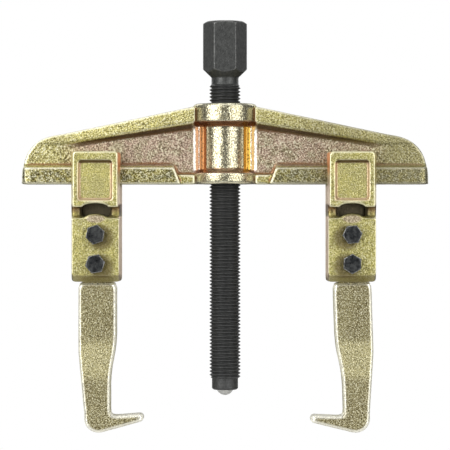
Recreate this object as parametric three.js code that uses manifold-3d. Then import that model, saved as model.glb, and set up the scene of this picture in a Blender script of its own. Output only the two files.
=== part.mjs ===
// Two-jaw sliding-arm gear puller, in millimetres, +Z up.
// The forcing screw stands on the Z axis, the beam lies along X and -Y is the front.
// Z = 0 is the level of the lowest point of the hooks.

import * as THREE from 'three';
import { mergeVertices } from 'three/addons/utils/BufferGeometryUtils.js';
import Module from 'manifold-3d';

const wasm = await Module();
wasm.setup();

// ---------------------------------------------------------------- driving dimensions

const GAP = 0.3;                 // clearance between pieces that slide or fit in one another

// beam
const BEAM_HALF_LENGTH = 116.5;
const BEAM_BOTTOM = 142.7;
const HUB_TOP = 188.9;
const COLLAR_RADIUS = 18.2;
const UPPER_COLLAR_BOTTOM = 178.4;
const WAIST_RADIUS = 12.4;
const ARM_START_X = 17.4;        // the arms end here and leave a valley beside the hub
const VALLEY_FLOOR_X = 14.6;
const VALLEY_FLOOR_Y = 3;        // how near the middle plane the valley reaches
const LOWER_COLLAR_TOP = 148.9;
const HUB_CHAMFER = 1.2;
const COLLAR_STEP = 2;         // height of the slope between collar and waist
const FLANGE_ROOT_TOP = 187.1;     // top line of the flange where it leaves the hub
const FLANGE_ROOT_UNDER = 177.2;
const FLANGE_ROOT_HALF_WIDTH = 12;
const FLANGE_ROOT_FILLET = 2.8;
const FLANGE_LIP = 0.9;          // height of the rounded lower lip of the flange
const FLANGE_END_X = 93.1;       // the flange has run out into the nose here
const FLANGE_END_TOP = 171.2;
const NOSE_SHOULDER_X = 108.5;    // the nose bends down through a point near here
const NOSE_SHOULDER_Z = 169.5;
const NOSE_BULGE_Z = 163.2;
const FLANGE_END_UNDER = 165.1;
const WEB_ROOT_HALF = 6;
const WEB_END_HALF = 8.1;
const FLANGE_END_STEP = 0.4;     // the flange stands out this little where it runs out
const RAIL_HALF_WIDTH = 13;
const RAIL_EDGE_TOP = 151.9;     // top of the rail at its edge; a ramp climbs from here to the web
const RAIL_WEB_TOP = 154.3;
const RAIL_INNER_TOP_X = 30;
const RAIL_INNER_BOTTOM_X = 25.4;
const RAIL_CORNER_RADIUS = 4.5;
const BORE_CHAMFER = 1;
const SHELF_HALF_WIDTH = 10;     // thin shelf between the hub and the rail
const SHELF_TOP = 148;

// forcing screw
const THREAD_RADIUS = 9;         // M18
const THREAD_CHAMFER = 1.2;
const THREAD_TOP = 200;
const THREAD_BOTTOM = 31;
const NECK_RADIUS = 7.8;
const NECK_TOP = 204.1;
const HEX_TOP = 236.4;
const HEX_FLATS = 22;
const HEX_TOP_CIRCLE = 10.4;     // radius of the round top left by the 30 degree chamfer
const FOOT_CONE_SLOPE = 0.96;       // rise over run of the cone under the hexagon
const NOSE_RADIUS = 7.5;
const NOSE_BOTTOM = 24.4;
const NOSE_CHAMFER = 1.2;
const BALL_RADIUS = 5;
const BALL_CENTRE = 26.2;

// sliders
const LEFT_SLIDE_X = -73.8;
const RIGHT_SLIDE_X = 72.4;
const SLIDE_BOTTOM = 86.7;
const SLIDE_TOP = 161.5;
const SLIDE_HALF_WIDTH = 14.5;  // at the joint face, Y = 0
const BOX_BOTTOM = 129.5;        // upper box of the slider
const BOX_FRONT = 22;
const BOX_FRONT_HALF_WIDTH = 12.8;
const BOX_SHOULDER = 15;          // the sides of the box draw in from here to its front
const BOX_SHOULDER_HALF_WIDTH = 13.9;
const BOX_CORNER = 2;
const BOX_TOP_DRAFT = 0.5;
const PLATE_CORNER = 1.2;
const INNER_CORNER = 0.5;        // corners that end up inside the slider or on its pocket
const PANEL_HALF_WIDTH = 8.95;   // recessed panel in the front of the box
const PANEL_BOTTOM = 134;
const PANEL_TOP = 155.2;
const PANEL_DEPTH = 2;
const PANEL_DRAFT = 0.8;         // the panel's walls lean out by this over its depth
const PANEL_CORNER = 1.5;
const PLATE_FRONT = 19;          // lower plate of the slider
const PLATE_FRONT_HALF_WIDTH = 13.5;
const PLATE_SHOULDER = 12;       // the foot of the plate slopes back from here to its front
const PLATE_SHOULDER_HALF_WIDTH = 13.9;
const PLATE_FRONT_BOTTOM = 90.4;
const PLATE_TOP = 123.8;
const GROOVE_FLOOR = 15;         // groove between box and plate
const DOME_RISE = 2.1;
const BOX_DOME_HALF_WIDTH = 7.3;
const PLATE_DOME_HALF_WIDTH = 6;
const WINDOW_HALF_WIDTH = 7.5;   // the middle of the groove opens into the tongue's pocket
const WINDOW_SLOPE = 1.4;        // and widens by this towards the front
const CHANNEL_HALF_WIDTH = 9.7;  // pocket that the tongue of the jaw stands in
const CHANNEL_TOP = 134.2;
const LIP_INNER_Y = 9.3;         // the lips reach in over the rail up to here
const LIP_GAP = 0.5;
const LIP_RISE = 1.8;
const BOLT_HOLE_RADIUS = 3.4;
const SEAT_RADIUS = 7.2;         // round seats for the washers and nuts
const SEAT_FLOOR = 15.2;

// jaws, measured from the centre line of their slider
const TONGUE_HALF_WIDTH = 8.5;
const TONGUE_HALF_THICKNESS = 8;
const TONGUE_TOP = 133.2;
const TONGUE_CORNER = 4;
const JAW_HALF_WIDTH = 10.9;
const JAW_HALF_THICKNESS = 9;
const JAW_EDGE = 1.4;               // rounding of the long edges, seen from the front
const JAW_EDGE_DEPTH = 2.2;         // and seen from the side
const SHOULDER_TOP = 86.1;
const SHOULDER_HALF_WIDTH = 9.8;
const SHOULDER_BOTTOM = 83.3;
const OUTER_TAPER_TOP = 46.2;         // the outer side runs straight in from here to the heel
const INNER_TAPER_TOP = 57.2;         // the inner side swings in from here
const INNER_TAPER_BOTTOM = 27.2;
const LEG_INNER_X = 7.4;            // inner side of the leg above the hook
const HEEL_RADIUS = 8.1;
const HEEL_CENTRE_X = 0.6;
const HEEL_TOP = 10.7;
const HOOK_TIP_X = 26.5;
const HOOK_TIP_TOP = 10.8;
const HOOK_TIP_BOTTOM = 6.3;
const HOOK_ROOT_X = 11.6;
const HOOK_ROOT_TOP = 9.8;
const HOOK_ROOT_FILLET = 6.2;
const HOOK_TIP_CORNER = 2.6;
const JAW_HOLE_RADIUS = 3.65;
const LEFT_JAW_SHIFT = 0.55;          // each jaw has a little play in its slider
const RIGHT_JAW_LEAN = THREE.MathUtils.degToRad(1.9);

// M6 fasteners
const UPPER_BOLT_Z = 113.8;
const LOWER_BOLT_Z = 97.1;
const BOLT_RADIUS = 3;
const BOLT_END = 23;
const BOLT_END_CHAMFER = 0.8;
const FASTENER_FLATS = 10;
const HEAD_HEIGHT = 4;
const FASTENER_CHAMFER_CIRCLE = 4.9;
const WASHER_INNER = 3.3;
const WASHER_OUTER = 5.5;
const WASHER_THICKNESS = 1.6;
const WASHER_SLIT = 1.2;
const NUT_HEIGHT = 5;
const NUT_BORE = 3.3;
const LEFT_HEAD_ANGLES = [0.32, 0.18];    // how far each bolt head happens to be turned, in radians
const RIGHT_HEAD_ANGLES = [0.1, 0.5];

// number of straight sides on round things
const ROUND_LARGE = 40;
const ROUND_SMALL = 20;
const BALL_RINGS = 12;
const CUT_PAST = 3;              // how far a cutting shape runs past the piece it cuts

// ---------------------------------------------------------------- axes of profiles

// Each maps a profile's (u, v) and its sweep direction w on to the model's axes.
const X = new THREE.Vector3(1, 0, 0);
const Y = new THREE.Vector3(0, 1, 0);
const Z = new THREE.Vector3(0, 0, 1);
const TOWARD_FRONT = new THREE.Matrix4().makeBasis(X, Z, Y.clone().negate());  // u=X v=Z w=-Y
const ALONG_BEAM = new THREE.Matrix4().makeBasis(Y, Z, X);                     // u=Y v=Z w=X
const UPWARD = new THREE.Matrix4();                                            // u=X v=Y w=Z
const NO_TURN = new THREE.Matrix4();
const HALF_TURN = new THREE.Matrix4().makeRotationZ(Math.PI);

// ---------------------------------------------------------------- shape helpers

// A closed geometry as a solid that can be joined to and cut by others.
function solid(geometry) {
  const bare = geometry.clone();
  bare.deleteAttribute('normal');
  bare.deleteAttribute('uv');
  const merged = mergeVertices(bare, 1e-4);
  const place = merged.attributes.position.array;
  const corners = merged.index.array;
  const kept = [];
  let volume = 0;
  for (let i = 0; i < corners.length; i += 3) {
    const [a, b, c] = [corners[i], corners[i + 1], corners[i + 2]];
    if (a === b || b === c || c === a) continue;
    kept.push(a, b, c);
    const va = new THREE.Vector3().fromArray(place, 3 * a);
    const vb = new THREE.Vector3().fromArray(place, 3 * b);
    const vc = new THREE.Vector3().fromArray(place, 3 * c);
    volume += va.dot(vb.cross(vc));
  }
  const triVerts = Uint32Array.from(volume < 0 ? kept.reverse() : kept);
  const vertProperties = Float32Array.from(place);
  return new wasm.Manifold(new wasm.Mesh({ numProp: 3, vertProperties, triVerts }));
}

// A finished solid back as a geometry that three.js can show.
function geometryOf(body) {
  const mesh = body.getMesh();
  const geometry = new THREE.BufferGeometry();
  geometry.setAttribute('position', new THREE.BufferAttribute(mesh.vertProperties, 3));
  geometry.setIndex(new THREE.BufferAttribute(mesh.triVerts, 1));
  const flat = geometry.toNonIndexed();
  flat.computeVertexNormals();
  return flat;
}

// A straight bar with the outline given, from w0 to w1 along its sweep direction.
function bar(shape, w0, w1, axes, curveSegments = 8) {
  const depth = w1 - w0;
  const geometry = new THREE.ExtrudeGeometry(shape, { depth, bevelEnabled: false, curveSegments });
  geometry.translate(0, 0, w0);
  return solid(geometry.applyMatrix4(axes));
}

// A solid skinned over outlines that all have the same number of points.
function loft(sections, axes) {
  const count = sections[0].outline.length;
  const places = sections.flatMap(({ outline, w }) => outline.flatMap((p) => [p.x, p.y, w]));
  const corners = [];
  for (let s = 0; s + 1 < sections.length; s += 1) {
    for (let i = 0; i < count; i += 1) {
      const next = (i + 1) % count;
      const [a, b] = [s * count + i, s * count + next];
      corners.push(a, b, b + count, a, b + count, a + count);
    }
  }
  const last = (sections.length - 1) * count;
  for (const [a, b, c] of THREE.ShapeUtils.triangulateShape(sections[0].outline, [])) corners.push(a, c, b);
  for (const [a, b, c] of THREE.ShapeUtils.triangulateShape(sections.at(-1).outline, [])) {
    corners.push(last + a, last + b, last + c);
  }
  const geometry = new THREE.BufferGeometry();
  geometry.setAttribute('position', new THREE.Float32BufferAttribute(places, 3));
  geometry.setIndex(corners);
  return solid(geometry.applyMatrix4(axes));
}

// A turned solid about the Z axis from [radius, z] points.
function turned(profile, sides = ROUND_LARGE) {
  const points = profile.map(([radius, z]) => new THREE.Vector2(radius, z));
  return solid(new THREE.LatheGeometry(points, sides).rotateX(Math.PI / 2));
}

function sphere(radius) {
  return solid(new THREE.SphereGeometry(radius, ROUND_SMALL, BALL_RINGS).rotateX(Math.PI / 2));
}

// A solid turned about the Y axis from [radius, y] points, centred over (0, z).
function turnedAcross(profile, z, sides = ROUND_SMALL) {
  const points = profile.map(([radius, y]) => new THREE.Vector2(radius, y));
  return solid(new THREE.LatheGeometry(points, sides).translate(0, 0, z));
}

// The outline through [u, v] points with straight sides.
function polygon(points) {
  return new THREE.Shape(points.map(([u, v]) => new THREE.Vector2(u, v)));
}

// A rectangle with rounded corners; the radii are those of the bottom and the top pair.
function roundedBox(left, bottom, right, top, lowRadius, highRadius = lowRadius) {
  const shape = new THREE.Shape();
  shape.moveTo(left + lowRadius, bottom);
  shape.absarc(right - lowRadius, bottom + lowRadius, lowRadius, -Math.PI / 2, 0);
  shape.absarc(right - highRadius, top - highRadius, highRadius, 0, Math.PI / 2);
  shape.absarc(left + highRadius, top - highRadius, highRadius, Math.PI / 2, Math.PI);
  shape.absarc(left + lowRadius, bottom + lowRadius, lowRadius, Math.PI, 1.5 * Math.PI);
  return shape;
}

// The points of a closed outline without repeated ones, for a loft.
function cleaned(points) {
  const ring = points.filter((p, i) => i === 0 || p.distanceTo(points[i - 1]) > 1e-6);
  if (ring[0].distanceTo(ring.at(-1)) < 1e-6) ring.pop();
  return ring;
}

function roundedRing(...args) {
  return cleaned(roundedBox(...args).getPoints(3));
}

// A hexagon of the given size across flats, turned by an angle.
function hexagon(flats, angle) {
  const radius = flats / Math.sqrt(3);
  const corners = Array.from({ length: 6 }, (_, i) => angle + (i * Math.PI) / 3);
  return polygon(corners.map((a) => [radius * Math.cos(a), radius * Math.sin(a)]));
}

// A round hole through the piece along Y at height z.
function crossHole(radius, z, from, to) {
  return turnedAcross([[0, from], [radius, from], [radius, to], [0, to]], z);
}

// ---------------------------------------------------------------- materials

function metal(color, roughness, metalness = 0.85) {
  return new THREE.MeshStandardMaterial({ color, roughness, metalness });
}

const yellowZinc = () => metal(0xb5a860, 0.42);
const jawZinc = () => metal(0x9d9166, 0.45);
const blackOxide = () => metal(0x2b2d30, 0.4);
const screwSteel = () => metal(0x474745, 0.38);
const ballSteel = () => metal(0xc9c9c4, 0.15);

// ---------------------------------------------------------------- beam

// Side view of the beam: flat underside, sloping top line and a round nose at each end.
function beamOutline() {
  const shape = new THREE.Shape();
  shape.moveTo(-BEAM_HALF_LENGTH, BEAM_BOTTOM);
  shape.lineTo(BEAM_HALF_LENGTH, BEAM_BOTTOM);
  shape.bezierCurveTo(
    BEAM_HALF_LENGTH, NOSE_BULGE_Z, NOSE_SHOULDER_X, NOSE_SHOULDER_Z, FLANGE_END_X, FLANGE_END_TOP,
  );
  shape.lineTo(COLLAR_RADIUS - 1, FLANGE_ROOT_TOP);
  shape.lineTo(1 - COLLAR_RADIUS, FLANGE_ROOT_TOP);
  shape.lineTo(-FLANGE_END_X, FLANGE_END_TOP);
  shape.bezierCurveTo(
    -NOSE_SHOULDER_X, NOSE_SHOULDER_Z, -BEAM_HALF_LENGTH, NOSE_BULGE_Z, -BEAM_HALF_LENGTH, BEAM_BOTTOM,
  );
  return shape;
}

// Cross-section of web and flange, open at the top where the side view trims it.
function webSection(web, flange, under, fillet) {
  const right = [
    [web, BEAM_BOTTOM], [web, under - fillet], [flange - FLANGE_LIP, under],
    [flange, under + FLANGE_LIP], [flange, HUB_TOP + CUT_PAST],
  ];
  const left = right.map(([y, z]) => [-y, z]).reverse();
  return [...right, ...left].map(([y, z]) => new THREE.Vector2(y, z));
}

// One arm of the beam, on the +X side.
function beamArm() {
  const root = webSection(WEB_ROOT_HALF, FLANGE_ROOT_HALF_WIDTH, FLANGE_ROOT_UNDER, FLANGE_ROOT_FILLET);
  const endHalf = WEB_END_HALF + FLANGE_END_STEP;
  const end = webSection(WEB_END_HALF, endHalf, FLANGE_END_UNDER, 0);
  const nose = webSection(WEB_END_HALF + FLANGE_END_STEP / 2, endHalf, FLANGE_END_UNDER, 0);
  const web = loft([
    { w: 0, outline: root },
    { w: COLLAR_RADIUS, outline: root },
    { w: FLANGE_END_X, outline: end },
    { w: BEAM_HALF_LENGTH, outline: nose },
  ], ALONG_BEAM);
  const railSection = polygon([
    [-RAIL_HALF_WIDTH, BEAM_BOTTOM], [RAIL_HALF_WIDTH, BEAM_BOTTOM], [RAIL_HALF_WIDTH, RAIL_EDGE_TOP],
    [WEB_ROOT_HALF, RAIL_WEB_TOP], [-WEB_ROOT_HALF, RAIL_WEB_TOP], [-RAIL_HALF_WIDTH, RAIL_EDGE_TOP],
  ]);
  const railSide = polygon([
    [RAIL_INNER_BOTTOM_X, BEAM_BOTTOM], [BEAM_HALF_LENGTH, BEAM_BOTTOM],
    [BEAM_HALF_LENGTH, RAIL_WEB_TOP], [RAIL_INNER_TOP_X, RAIL_WEB_TOP],
  ]);
  const rail = bar(railSection, 0, BEAM_HALF_LENGTH, ALONG_BEAM)
    .intersect(bar(railSide, -COLLAR_RADIUS, COLLAR_RADIUS, TOWARD_FRONT));
  const shelfSection = polygon([
    [-SHELF_HALF_WIDTH, BEAM_BOTTOM], [SHELF_HALF_WIDTH, BEAM_BOTTOM],
    [SHELF_HALF_WIDTH, SHELF_TOP], [-SHELF_HALF_WIDTH, SHELF_TOP],
  ]);
  const shelf = bar(shelfSection, 0, RAIL_INNER_TOP_X, ALONG_BEAM);
  return web.add(rail).add(shelf);
}

function beamBody() {
  const arm = beamArm();
  const otherArm = arm.rotate([0, 0, 180]);
  const side = bar(beamOutline(), -COLLAR_RADIUS, COLLAR_RADIUS, TOWARD_FRONT, 10);
  const plan = bar(
    roundedBox(
      -BEAM_HALF_LENGTH, -RAIL_HALF_WIDTH, BEAM_HALF_LENGTH, RAIL_HALF_WIDTH, RAIL_CORNER_RADIUS,
    ),
    BEAM_BOTTOM, HUB_TOP, UPWARD, 5,
  );
  const hub = turned([
    [0, BEAM_BOTTOM], [COLLAR_RADIUS - HUB_CHAMFER, BEAM_BOTTOM],
    [COLLAR_RADIUS, BEAM_BOTTOM + HUB_CHAMFER], [COLLAR_RADIUS, LOWER_COLLAR_TOP],
    [WAIST_RADIUS, LOWER_COLLAR_TOP + COLLAR_STEP], [WAIST_RADIUS, UPPER_COLLAR_BOTTOM - COLLAR_STEP],
    [COLLAR_RADIUS, UPPER_COLLAR_BOTTOM], [COLLAR_RADIUS, HUB_TOP - HUB_CHAMFER],
    [COLLAR_RADIUS - HUB_CHAMFER, HUB_TOP], [0, HUB_TOP],
  ]);
  const valley = bar(
    polygon([
      [-ARM_START_X, -2 * COLLAR_RADIUS], [ARM_START_X, -2 * COLLAR_RADIUS], [ARM_START_X, -WEB_ROOT_HALF],
      [VALLEY_FLOOR_X, -VALLEY_FLOOR_Y], [-VALLEY_FLOOR_X, -VALLEY_FLOOR_Y], [-ARM_START_X, -WEB_ROOT_HALF],
    ]),
    BEAM_BOTTOM - CUT_PAST, HUB_TOP + CUT_PAST, UPWARD,
  );
  const boreRadius = THREAD_RADIUS + GAP;
  const mouthRadius = boreRadius + BORE_CHAMFER + CUT_PAST;
  const bore = turned([
    [0, BEAM_BOTTOM - CUT_PAST], [mouthRadius, BEAM_BOTTOM - CUT_PAST],
    [boreRadius, BEAM_BOTTOM + BORE_CHAMFER],
    [boreRadius, HUB_TOP - BORE_CHAMFER], [mouthRadius, HUB_TOP + CUT_PAST],
    [0, HUB_TOP + CUT_PAST],
  ]);
  const arms = arm.add(otherArm).intersect(side).intersect(plan);
  return arms.subtract(valley).subtract(valley.rotate([0, 0, 180])).add(hub).subtract(bore);
}

// ---------------------------------------------------------------- forcing screw

function spindleBody() {
  const shank = turned([
    [0, NOSE_BOTTOM], [NOSE_RADIUS - NOSE_CHAMFER, NOSE_BOTTOM], [NOSE_RADIUS, NOSE_BOTTOM + NOSE_CHAMFER],
    [NOSE_RADIUS, THREAD_BOTTOM - THREAD_CHAMFER], [THREAD_RADIUS, THREAD_BOTTOM],
    [THREAD_RADIUS, THREAD_TOP - THREAD_CHAMFER], [NECK_RADIUS, THREAD_TOP], [NECK_RADIUS, NECK_TOP + GAP],
    [0, NECK_TOP + GAP],
  ]);
  const hexFlat = bar(hexagon(HEX_FLATS, 0), NECK_TOP, HEX_TOP, UPWARD);
  const corner = HEX_FLATS / Math.sqrt(3);
  const past = corner + 1;
  const topDrop = (past - HEX_TOP_CIRCLE) * Math.tan(Math.PI / 6);
  const hexLimit = turned([
    [0, NECK_TOP], [NECK_RADIUS, NECK_TOP], [past, NECK_TOP + (past - NECK_RADIUS) * FOOT_CONE_SLOPE],
    [past, HEX_TOP - topDrop], [HEX_TOP_CIRCLE, HEX_TOP], [0, HEX_TOP],
  ]);
  const socket = sphere(BALL_RADIUS + GAP).translate([0, 0, BALL_CENTRE]);
  return shank.add(hexFlat.intersect(hexLimit)).subtract(socket);
}

function ballBody() {
  return sphere(BALL_RADIUS).translate([0, 0, BALL_CENTRE]);
}

// ---------------------------------------------------------------- sliders

// The band between box and plate. Both of its edges rise to a low dome in the middle.
function grooveOutline(halfWidth) {
  const shape = new THREE.Shape();
  shape.moveTo(-halfWidth, PLATE_TOP);
  shape.lineTo(-PLATE_DOME_HALF_WIDTH, PLATE_TOP);
  shape.absellipse(0, PLATE_TOP, PLATE_DOME_HALF_WIDTH, DOME_RISE, Math.PI, 0, true);
  shape.lineTo(halfWidth, PLATE_TOP);
  shape.lineTo(halfWidth, BOX_BOTTOM);
  shape.lineTo(BOX_DOME_HALF_WIDTH, BOX_BOTTOM);
  shape.absellipse(0, BOX_BOTTOM, BOX_DOME_HALF_WIDTH, DOME_RISE, 0, Math.PI);
  shape.lineTo(-halfWidth, BOX_BOTTOM);
  return shape;
}

// One half of a slider, seen from the front, with its joint face on Y = 0.
function slideHalf(withSeats) {
  const boxRing = (halfWidth, drop) => roundedRing(
    -halfWidth, BOX_BOTTOM - CUT_PAST, halfWidth, SLIDE_TOP - drop, INNER_CORNER, BOX_CORNER,
  );
  const box = loft([
    { w: GAP / 2, outline: boxRing(SLIDE_HALF_WIDTH, 0) },
    { w: BOX_SHOULDER, outline: boxRing(BOX_SHOULDER_HALF_WIDTH, GAP) },
    { w: BOX_FRONT, outline: boxRing(BOX_FRONT_HALF_WIDTH, BOX_TOP_DRAFT) },
  ], TOWARD_FRONT);
  const plateRing = (halfWidth, bottom) => roundedRing(
    -halfWidth, bottom, halfWidth, BOX_BOTTOM, PLATE_CORNER, INNER_CORNER,
  );
  const plate = loft([
    { w: GAP / 2, outline: plateRing(SLIDE_HALF_WIDTH, SLIDE_BOTTOM) },
    { w: PLATE_SHOULDER, outline: plateRing(PLATE_SHOULDER_HALF_WIDTH, SLIDE_BOTTOM) },
    { w: PLATE_FRONT, outline: plateRing(PLATE_FRONT_HALF_WIDTH, PLATE_FRONT_BOTTOM) },
  ], TOWARD_FRONT);
  const groove = bar(
    grooveOutline(SLIDE_HALF_WIDTH + CUT_PAST), GROOVE_FLOOR, BOX_FRONT + CUT_PAST, TOWARD_FRONT, 5,
  );
  const windowRing = (halfWidth) => cleaned(grooveOutline(halfWidth).getPoints(5));
  const window = loft([
    { w: TONGUE_HALF_THICKNESS - 1, outline: windowRing(WINDOW_HALF_WIDTH) },
    { w: GROOVE_FLOOR + 1, outline: windowRing(WINDOW_HALF_WIDTH + WINDOW_SLOPE) },
  ], TOWARD_FRONT);
  const panelRing = (spread, corner) => roundedRing(
    -PANEL_HALF_WIDTH - spread, PANEL_BOTTOM - spread, PANEL_HALF_WIDTH + spread, PANEL_TOP + spread, corner,
  );
  const panel = loft([
    { w: BOX_FRONT - PANEL_DEPTH, outline: panelRing(0, PANEL_CORNER) },
    { w: BOX_FRONT + PANEL_DEPTH, outline: panelRing(2 * PANEL_DRAFT, PANEL_CORNER + PANEL_DRAFT) },
  ], TOWARD_FRONT);
  const railRoom = bar(polygon([
    [CUT_PAST, BEAM_BOTTOM - GAP], [-RAIL_HALF_WIDTH - GAP, BEAM_BOTTOM - GAP],
    [-RAIL_HALF_WIDTH - GAP, RAIL_EDGE_TOP + LIP_GAP], [-LIP_INNER_Y, RAIL_EDGE_TOP + LIP_GAP + LIP_RISE],
    [-LIP_INNER_Y, SLIDE_TOP + CUT_PAST], [CUT_PAST, SLIDE_TOP + CUT_PAST],
  ]), -SLIDE_HALF_WIDTH - CUT_PAST, SLIDE_HALF_WIDTH + CUT_PAST, ALONG_BEAM);
  const channel = bar(
    roundedBox(
      -CHANNEL_HALF_WIDTH, SLIDE_BOTTOM - CUT_PAST, CHANNEL_HALF_WIDTH, CHANNEL_TOP,
      INNER_CORNER, TONGUE_CORNER,
    ),
    -CUT_PAST, TONGUE_HALF_THICKNESS + GAP, TOWARD_FRONT, 5,
  );
  let half = box.add(plate).subtract(groove).subtract(window).subtract(panel);
  half = half.subtract(railRoom).subtract(channel);
  for (const z of [UPPER_BOLT_Z, LOWER_BOLT_Z]) {
    half = half.subtract(crossHole(BOLT_HOLE_RADIUS, z, -BOX_FRONT, CUT_PAST));
    if (withSeats) half = half.subtract(crossHole(SEAT_RADIUS, z, -BOX_FRONT, -SEAT_FLOOR));
  }
  return half;
}

// ---------------------------------------------------------------- jaws

// Leg and hook; the hook points to +X.
function legOutline() {
  const shape = new THREE.Shape();
  const tipRadius = (HOOK_TIP_TOP - HOOK_TIP_BOTTOM) / 2;
  const tipX = HOOK_TIP_X - tipRadius;
  const slope = Math.atan2(HOOK_TIP_BOTTOM, tipX - HEEL_CENTRE_X);
  const swing = 0.4 * (INNER_TAPER_TOP - INNER_TAPER_BOTTOM);
  shape.moveTo(-SHOULDER_HALF_WIDTH, SHOULDER_TOP);
  shape.lineTo(-JAW_HALF_WIDTH, SHOULDER_BOTTOM);
  shape.lineTo(-JAW_HALF_WIDTH, OUTER_TAPER_TOP);
  shape.lineTo(HEEL_CENTRE_X - HEEL_RADIUS, HEEL_TOP);
  shape.absarc(HEEL_CENTRE_X, HEEL_RADIUS, HEEL_RADIUS, Math.PI, 1.5 * Math.PI + slope);
  shape.absarc(tipX, HOOK_TIP_BOTTOM + tipRadius, tipRadius, slope - Math.PI / 2, Math.PI / 2);
  shape.lineTo(HOOK_ROOT_X, HOOK_ROOT_TOP);
  shape.bezierCurveTo(
    LEG_INNER_X, HOOK_ROOT_TOP, LEG_INNER_X, HOOK_ROOT_TOP, LEG_INNER_X, HOOK_ROOT_TOP + HOOK_ROOT_FILLET,
  );
  shape.lineTo(LEG_INNER_X, INNER_TAPER_BOTTOM);
  shape.bezierCurveTo(
    LEG_INNER_X, INNER_TAPER_BOTTOM + swing, JAW_HALF_WIDTH, INNER_TAPER_TOP - swing,
    JAW_HALF_WIDTH, INNER_TAPER_TOP,
  );
  shape.lineTo(JAW_HALF_WIDTH, SHOULDER_BOTTOM);
  shape.lineTo(SHOULDER_HALF_WIDTH, SHOULDER_TOP);
  return shape;
}

function jawBody() {
  const rounding = {
    bevelThickness: JAW_EDGE_DEPTH, bevelSize: JAW_EDGE, bevelOffset: -JAW_EDGE, bevelSegments: 3,
  };
  const depth = 2 * (JAW_HALF_THICKNESS - JAW_EDGE_DEPTH);
  const leg = solid(
    new THREE.ExtrudeGeometry(legOutline(), { ...rounding, depth, curveSegments: 6 })
      .translate(0, 0, -depth / 2)
      .applyMatrix4(TOWARD_FRONT),
  );
  const plan = bar(
    roundedBox(-2 * JAW_HALF_WIDTH, -JAW_HALF_THICKNESS, HOOK_TIP_X, JAW_HALF_THICKNESS, HOOK_TIP_CORNER),
    -CUT_PAST, SLIDE_BOTTOM, UPWARD, 4,
  );
  const tongue = bar(
    roundedBox(
      -TONGUE_HALF_WIDTH, INNER_TAPER_TOP, TONGUE_HALF_WIDTH, TONGUE_TOP, INNER_CORNER, TONGUE_CORNER,
    ),
    -TONGUE_HALF_THICKNESS, TONGUE_HALF_THICKNESS, TOWARD_FRONT, 5,
  );
  let jaw = leg.intersect(plan).add(tongue);
  for (const z of [UPPER_BOLT_Z, LOWER_BOLT_Z]) {
    jaw = jaw.subtract(crossHole(JAW_HOLE_RADIUS, z, -JAW_HALF_THICKNESS, JAW_HALF_THICKNESS));
  }
  return jaw;
}

// ---------------------------------------------------------------- fasteners, on the Y axis

// A hexagonal block with one or two chamfered ends.
function hexBlock(front, back, chamferBack, angle) {
  const corner = FASTENER_FLATS / Math.sqrt(3) + 0.5;
  const drop = (corner - FASTENER_CHAMFER_CIRCLE) * Math.tan(Math.PI / 6);
  const backRadius = chamferBack ? FASTENER_CHAMFER_CIRCLE : corner;
  const limit = turnedAcross([
    [0, front], [FASTENER_CHAMFER_CIRCLE, front], [corner, front + drop],
    [corner, back - (chamferBack ? drop : 0.1)], [backRadius, back], [0, back],
  ], 0);
  return bar(hexagon(FASTENER_FLATS, angle), -back, -front, TOWARD_FRONT).intersect(limit);
}

function boltBody(angle) {
  const shank = turnedAcross([
    [0, -PLATE_FRONT - 1], [BOLT_RADIUS, -PLATE_FRONT - 1], [BOLT_RADIUS, BOLT_END - BOLT_END_CHAMFER],
    [BOLT_RADIUS - BOLT_END_CHAMFER, BOLT_END], [0, BOLT_END],
  ], 0);
  return hexBlock(-PLATE_FRONT - HEAD_HEIGHT, -PLATE_FRONT, false, angle).add(shank);
}

function washerBody() {
  const y0 = SEAT_FLOOR;
  const y1 = SEAT_FLOOR + WASHER_THICKNESS;
  const ring = turnedAcross([
    [WASHER_INNER, y0], [WASHER_OUTER, y0], [WASHER_OUTER, y1], [WASHER_INNER, y1], [WASHER_INNER, y0],
  ], 0);
  const slit = solid(new THREE.BoxGeometry(WASHER_OUTER * 2, WASHER_THICKNESS * 3, WASHER_SLIT)
    .translate(WASHER_OUTER, y0, 0));
  return ring.subtract(slit);
}

function nutBody(angle) {
  const front = SEAT_FLOOR + WASHER_THICKNESS;
  const bore = turnedAcross([
    [0, front - 1], [NUT_BORE, front - 1], [NUT_BORE, front + NUT_HEIGHT + 1], [0, front + NUT_HEIGHT + 1],
  ], 0);
  return hexBlock(front, front + NUT_HEIGHT, true, angle).subtract(bore);
}

// ---------------------------------------------------------------- assembly

const puller = new THREE.Group();

function addPiece(parent, name, body, material, z = 0) {
  const mesh = new THREE.Mesh(geometryOf(body), material);
  mesh.name = name;
  mesh.position.z = z;
  parent.add(mesh);
  return mesh;
}

function addCarriage(side, x, facing, shift, lean, headAngles) {
  const carriage = new THREE.Group();
  carriage.position.x = x;
  addPiece(carriage, `${side}_slide_front`, slideHalf(false), yellowZinc());
  addPiece(carriage, `${side}_slide_back`, slideHalf(true).transform(HALF_TURN.elements), yellowZinc());
  const rows = { upper: UPPER_BOLT_Z, lower: LOWER_BOLT_Z };
  Object.entries(rows).forEach(([row, z], i) => {
    addPiece(carriage, `${side}_bolt_${row}`, boltBody(headAngles[i]), blackOxide(), z);
    addPiece(carriage, `${side}_washer_${row}`, washerBody(), blackOxide(), z);
    addPiece(carriage, `${side}_nut_${row}`, nutBody(headAngles[1 - i]), blackOxide(), z);
  });
  // The jaw hangs on its two bolts and leans as far as their clearance lets it.
  const hanger = new THREE.Group();
  hanger.position.set(shift, 0, (UPPER_BOLT_Z + LOWER_BOLT_Z) / 2);
  hanger.rotation.y = -lean;
  const jaw = addPiece(hanger, `${side}_jaw`, jawBody().transform(facing.elements), jawZinc());
  jaw.position.z = -hanger.position.z;
  carriage.add(hanger);
  puller.add(carriage);
}

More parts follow.
